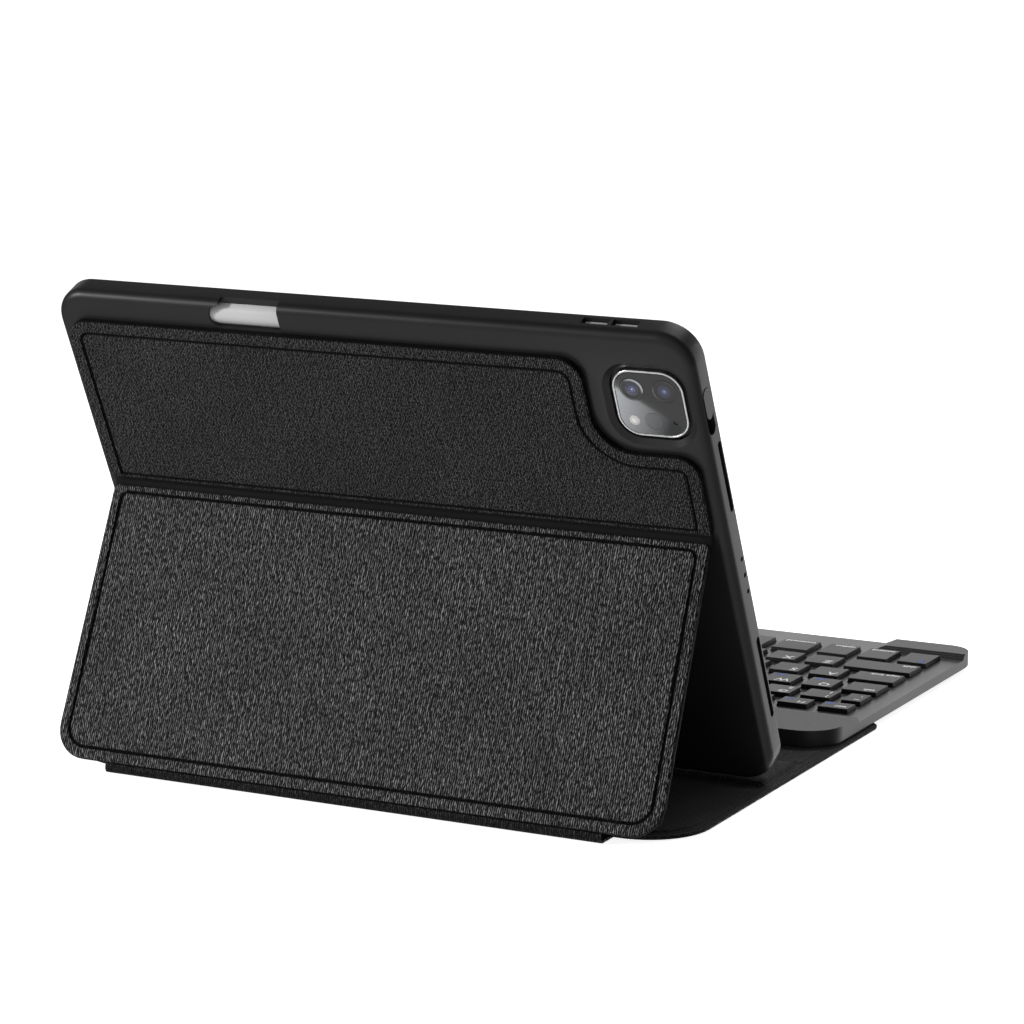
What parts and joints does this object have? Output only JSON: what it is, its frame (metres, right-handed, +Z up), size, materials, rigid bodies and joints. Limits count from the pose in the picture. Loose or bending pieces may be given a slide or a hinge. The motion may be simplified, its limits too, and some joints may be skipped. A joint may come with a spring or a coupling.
{
  "type": "tablet keyboard case",
  "caption": "Folio case for a tablet: leather base with a detachable keyboard, folding stand flap, and a bumper shell holding the tablet and its stylus.",
  "frame": {"origin": "middle of the whole footprint, on the surface that the case stands on", "axes": "+X to the user's right, +Y away from the user, +Z up"},
  "size_m": [0.2562, 0.3043, 0.1804],
  "materials": {
    "leather": "pebbled PU leather, satin",
    "lining": "short-nap microfibre",
    "fibre_board": "pressed fibre board",
    "magnet": "nickel plated",
    "shell_tpu": "soft-touch TPU",
    "button_metal": "anodised silver",
    "tablet_metal": "bead-blasted, anodised grey",
    "battery_wrap": "heat-sealed film",
    "circuit": "solder-masked laminate",
    "display": "polished, dark",
    "ring_metal": "polished edge",
    "camera_window": "polished, dark",
    "lens": "coated lens",
    "flash": "clear diffuser",
    "stylus_white": "satin white",
    "keyboard_plastic": "fine-textured ABS",
    "key_plastic": "satin ABS with printed legends",
    "screw_steel": "plain",
    "rubber": "matt",
    "switch_film": "printed film",
    "light_pipe": "clear"
  },
  "bodies": {
    "base": {"base_leather": "leather", "base_board_rear": "fibre_board", "strip_board": "fibre_board", "base_board_front": "fibre_board", "base_lining": "lining", "strip_magnets": "magnet", "base_magnets": "magnet", "spine_strip": "leather"},
    "hem": {"flap_hem": "leather"},
    "stand_flap": {"flap_leather": "leather", "flap_board": "fibre_board", "flap_lining": "lining"},
    "tablet_shell": {"shell": "shell_tpu", "shell_magnets": "magnet", "panel_board": "fibre_board", "panel_leather": "leather"},
    "power_button": {"power_button": "shell_tpu"},
    "volume_up": {"volume_up_button": "button_metal"},
    "volume_down": {"volume_down_button": "button_metal"},
    "tablet": {"tablet_housing": "tablet_metal", "tablet_battery": "battery_wrap", "tablet_board": "circuit", "display_glass": "display", "camera_ring": "ring_metal", "camera_glass": "camera_window", "camera_lenses": "lens", "flash_lens": "flash"},
    "stylus": {"stylus_barrel": "stylus_white", "stylus_tip": "stylus_white"},
    "keyboard": {"keyboard_top": "keyboard_plastic", "keyboard_bottom": "keyboard_plastic", "housing_screws": "screw_steel", "keyboard_feet": "rubber", "switch_sheet": "switch_film", "circuit_board": "circuit", "battery": "battery_wrap", "charge_port": "screw_steel", "keyboard_magnets": "magnet", "status_lights": "light_pipe"},
    "power_switch": {"power_switch": "keyboard_plastic"},
    "key_escape": {"key_escape": "key_plastic"},
    "key_f1": {"key_f1": "key_plastic"},
    "key_backquote": {"key_backquote": "key_plastic"},
    "key_1": {"key_1": "key_plastic"},
    "key_backspace": {"key_backspace": "key_plastic"},
    "key_tab": {"key_tab": "key_plastic"},
    "key_q": {"key_q": "key_plastic"},
    "key_caps": {"key_caps": "key_plastic"},
    "key_a": {"key_a": "key_plastic"},
    "key_enter": {"key_enter": "key_plastic"},
    "key_shift_left": {"key_shift_left": "key_plastic"},
    "key_z": {"key_z": "key_plastic"},
    "key_fn": {"key_fn": "key_plastic"},
    "key_space": {"key_space": "key_plastic"},
    "keys_function_row": {"keys_function_row": "key_plastic"},
    "keys_number_row": {"keys_number_row": "key_plastic"},
    "keys_upper_row": {"keys_upper_row": "key_plastic"},
    "keys_home_row": {"keys_home_row": "key_plastic"},
    "keys_lower_row": {"keys_lower_row": "key_plastic"},
    "keys_space_row": {"keys_space_row": "key_plastic"}
  },
  "joints": [
    {"name": "cover_tilt", "type": "hinge", "parent": "base", "child": "hem", "pos_m": [0, 0.15112, 0.00407], "axis": [1, 0, 0], "range_deg": [-90, 0]},
    {"name": "stand_fold", "type": "hinge", "parent": "hem", "child": "stand_flap", "pos_m": [0, 0.14928, 0.00818], "axis": [1, 0, 0], "range_deg": [-14, 5.5]},
    {"name": "crease", "type": "hinge", "parent": "stand_flap", "child": "tablet_shell", "pos_m": [0, 0.1091, 0.10074], "axis": [1, 0, 0], "range_deg": [-10, 25.3]},
    {"name": "tablet_slide", "type": "slide", "parent": "tablet_shell", "child": "tablet", "axis": [0, -0.9074, 0.4202], "range_m": [0, 0.03]},
    {"name": "stylus_slide", "type": "slide", "parent": "tablet_shell", "child": "stylus", "axis": [0, -0.9074, 0.4202], "range_m": [0, 0.02]},
    {"name": "power_button", "type": "slide", "parent": "tablet_shell", "child": "power_button", "axis": [1, 0, 0], "range_m": [0, 0.0008], "stiffness_N_per_m": 400},
    {"name": "volume_up", "type": "slide", "parent": "tablet_shell", "child": "volume_up", "axis": [0, -0.4202, -0.9074], "range_m": [0, 0.0008], "stiffness_N_per_m": 400},
    {"name": "volume_down", "type": "slide", "parent": "tablet_shell", "child": "volume_down", "axis": [0, -0.4202, -0.9074], "range_m": [0, 0.0008], "stiffness_N_per_m": 400},
    {"name": "keyboard_lift", "type": "slide", "parent": "base", "child": "keyboard", "axis": [0, 0, 1], "range_m": [0, 0.04]},
    {"name": "power_switch", "type": "slide", "parent": "keyboard", "child": "power_switch", "axis": [1, 0, 0], "range_m": [0, 0.003]},
    {"name": "key_escape", "type": "slide", "parent": "keyboard", "child": "key_escape", "axis": [0, 0, -1], "range_m": [0, 0.0012], "stiffness_N_per_m": 450},
    {"name": "key_f1", "type": "slide", "parent": "keyboard", "child": "key_f1", "axis": [0, 0, -1], "range_m": [0, 0.0012], "stiffness_N_per_m": 450},
    {"name": "key_backquote", "type": "slide", "parent": "keyboard", "child": "key_backquote", "axis": [0, 0, -1], "range_m": [0, 0.0012], "stiffness_N_per_m": 450},
    {"name": "key_1", "type": "slide", "parent": "keyboard", "child": "key_1", "axis": [0, 0, -1], "range_m": [0, 0.0012], "stiffness_N_per_m": 450},
    {"name": "key_backspace", "type": "slide", "parent": "keyboard", "child": "key_backspace", "axis": [0, 0, -1], "range_m": [0, 0.0012], "stiffness_N_per_m": 450},
    {"name": "key_tab", "type": "slide", "parent": "keyboard", "child": "key_tab", "axis": [0, 0, -1], "range_m": [0, 0.0012], "stiffness_N_per_m": 450},
    {"name": "key_q", "type": "slide", "parent": "keyboard", "child": "key_q", "axis": [0, 0, -1], "range_m": [0, 0.0012], "stiffness_N_per_m": 450},
    {"name": "key_caps", "type": "slide", "parent": "keyboard", "child": "key_caps", "axis": [0, 0, -1], "range_m": [0, 0.0012], "stiffness_N_per_m": 450},
    {"name": "key_a", "type": "slide", "parent": "keyboard", "child": "key_a", "axis": [0, 0, -1], "range_m": [0, 0.0012], "stiffness_N_per_m": 450},
    {"name": "key_enter", "type": "slide", "parent": "keyboard", "child": "key_enter", "axis": [0, 0, -1], "range_m": [0, 0.0012], "stiffness_N_per_m": 450},
    {"name": "key_shift_left", "type": "slide", "parent": "keyboard", "child": "key_shift_left", "axis": [0, 0, -1], "range_m": [0, 0.0012], "stiffness_N_per_m": 450},
    {"name": "key_z", "type": "slide", "parent": "keyboard", "child": "key_z", "axis": [0, 0, -1], "range_m": [0, 0.0012], "stiffness_N_per_m": 450},
    {"name": "key_fn", "type": "slide", "parent": "keyboard", "child": "key_fn", "axis": [0, 0, -1], "range_m": [0, 0.0012], "stiffness_N_per_m": 450},
    {"name": "key_space", "type": "slide", "parent": "keyboard", "child": "key_space", "axis": [0, 0, -1], "range_m": [0, 0.0012], "stiffness_N_per_m": 450},
    {"name": "keys_function_row", "type": "slide", "parent": "keyboard", "child": "keys_function_row", "axis": [0, 0, -1], "range_m": [0, 0.0012], "stiffness_N_per_m": 1500},
    {"name": "keys_number_row", "type": "slide", "parent": "keyboard", "child": "keys_number_row", "axis": [0, 0, -1], "range_m": [0, 0.0012], "stiffness_N_per_m": 1500},
    {"name": "keys_upper_row", "type": "slide", "parent": "keyboard", "child": "keys_upper_row", "axis": [0, 0, -1], "range_m": [0, 0.0012], "stiffness_N_per_m": 1500},
    {"name": "keys_home_row", "type": "slide", "parent": "keyboard", "child": "keys_home_row", "axis": [0, 0, -1], "range_m": [0, 0.0012], "stiffness_N_per_m": 1500},
    {"name": "keys_lower_row", "type": "slide", "parent": "keyboard", "child": "keys_lower_row", "axis": [0, 0, -1], "range_m": [0, 0.0012], "stiffness_N_per_m": 1500},
    {"name": "keys_space_row", "type": "slide", "parent": "keyboard", "child": "keys_space_row", "axis": [0, 0, -1], "range_m": [0, 0.0012], "stiffness_N_per_m": 1500}
  ],
  "couplings": [
    {"joint": "crease", "follows": "stand_fold", "ratio": -1.8}
  ]
}
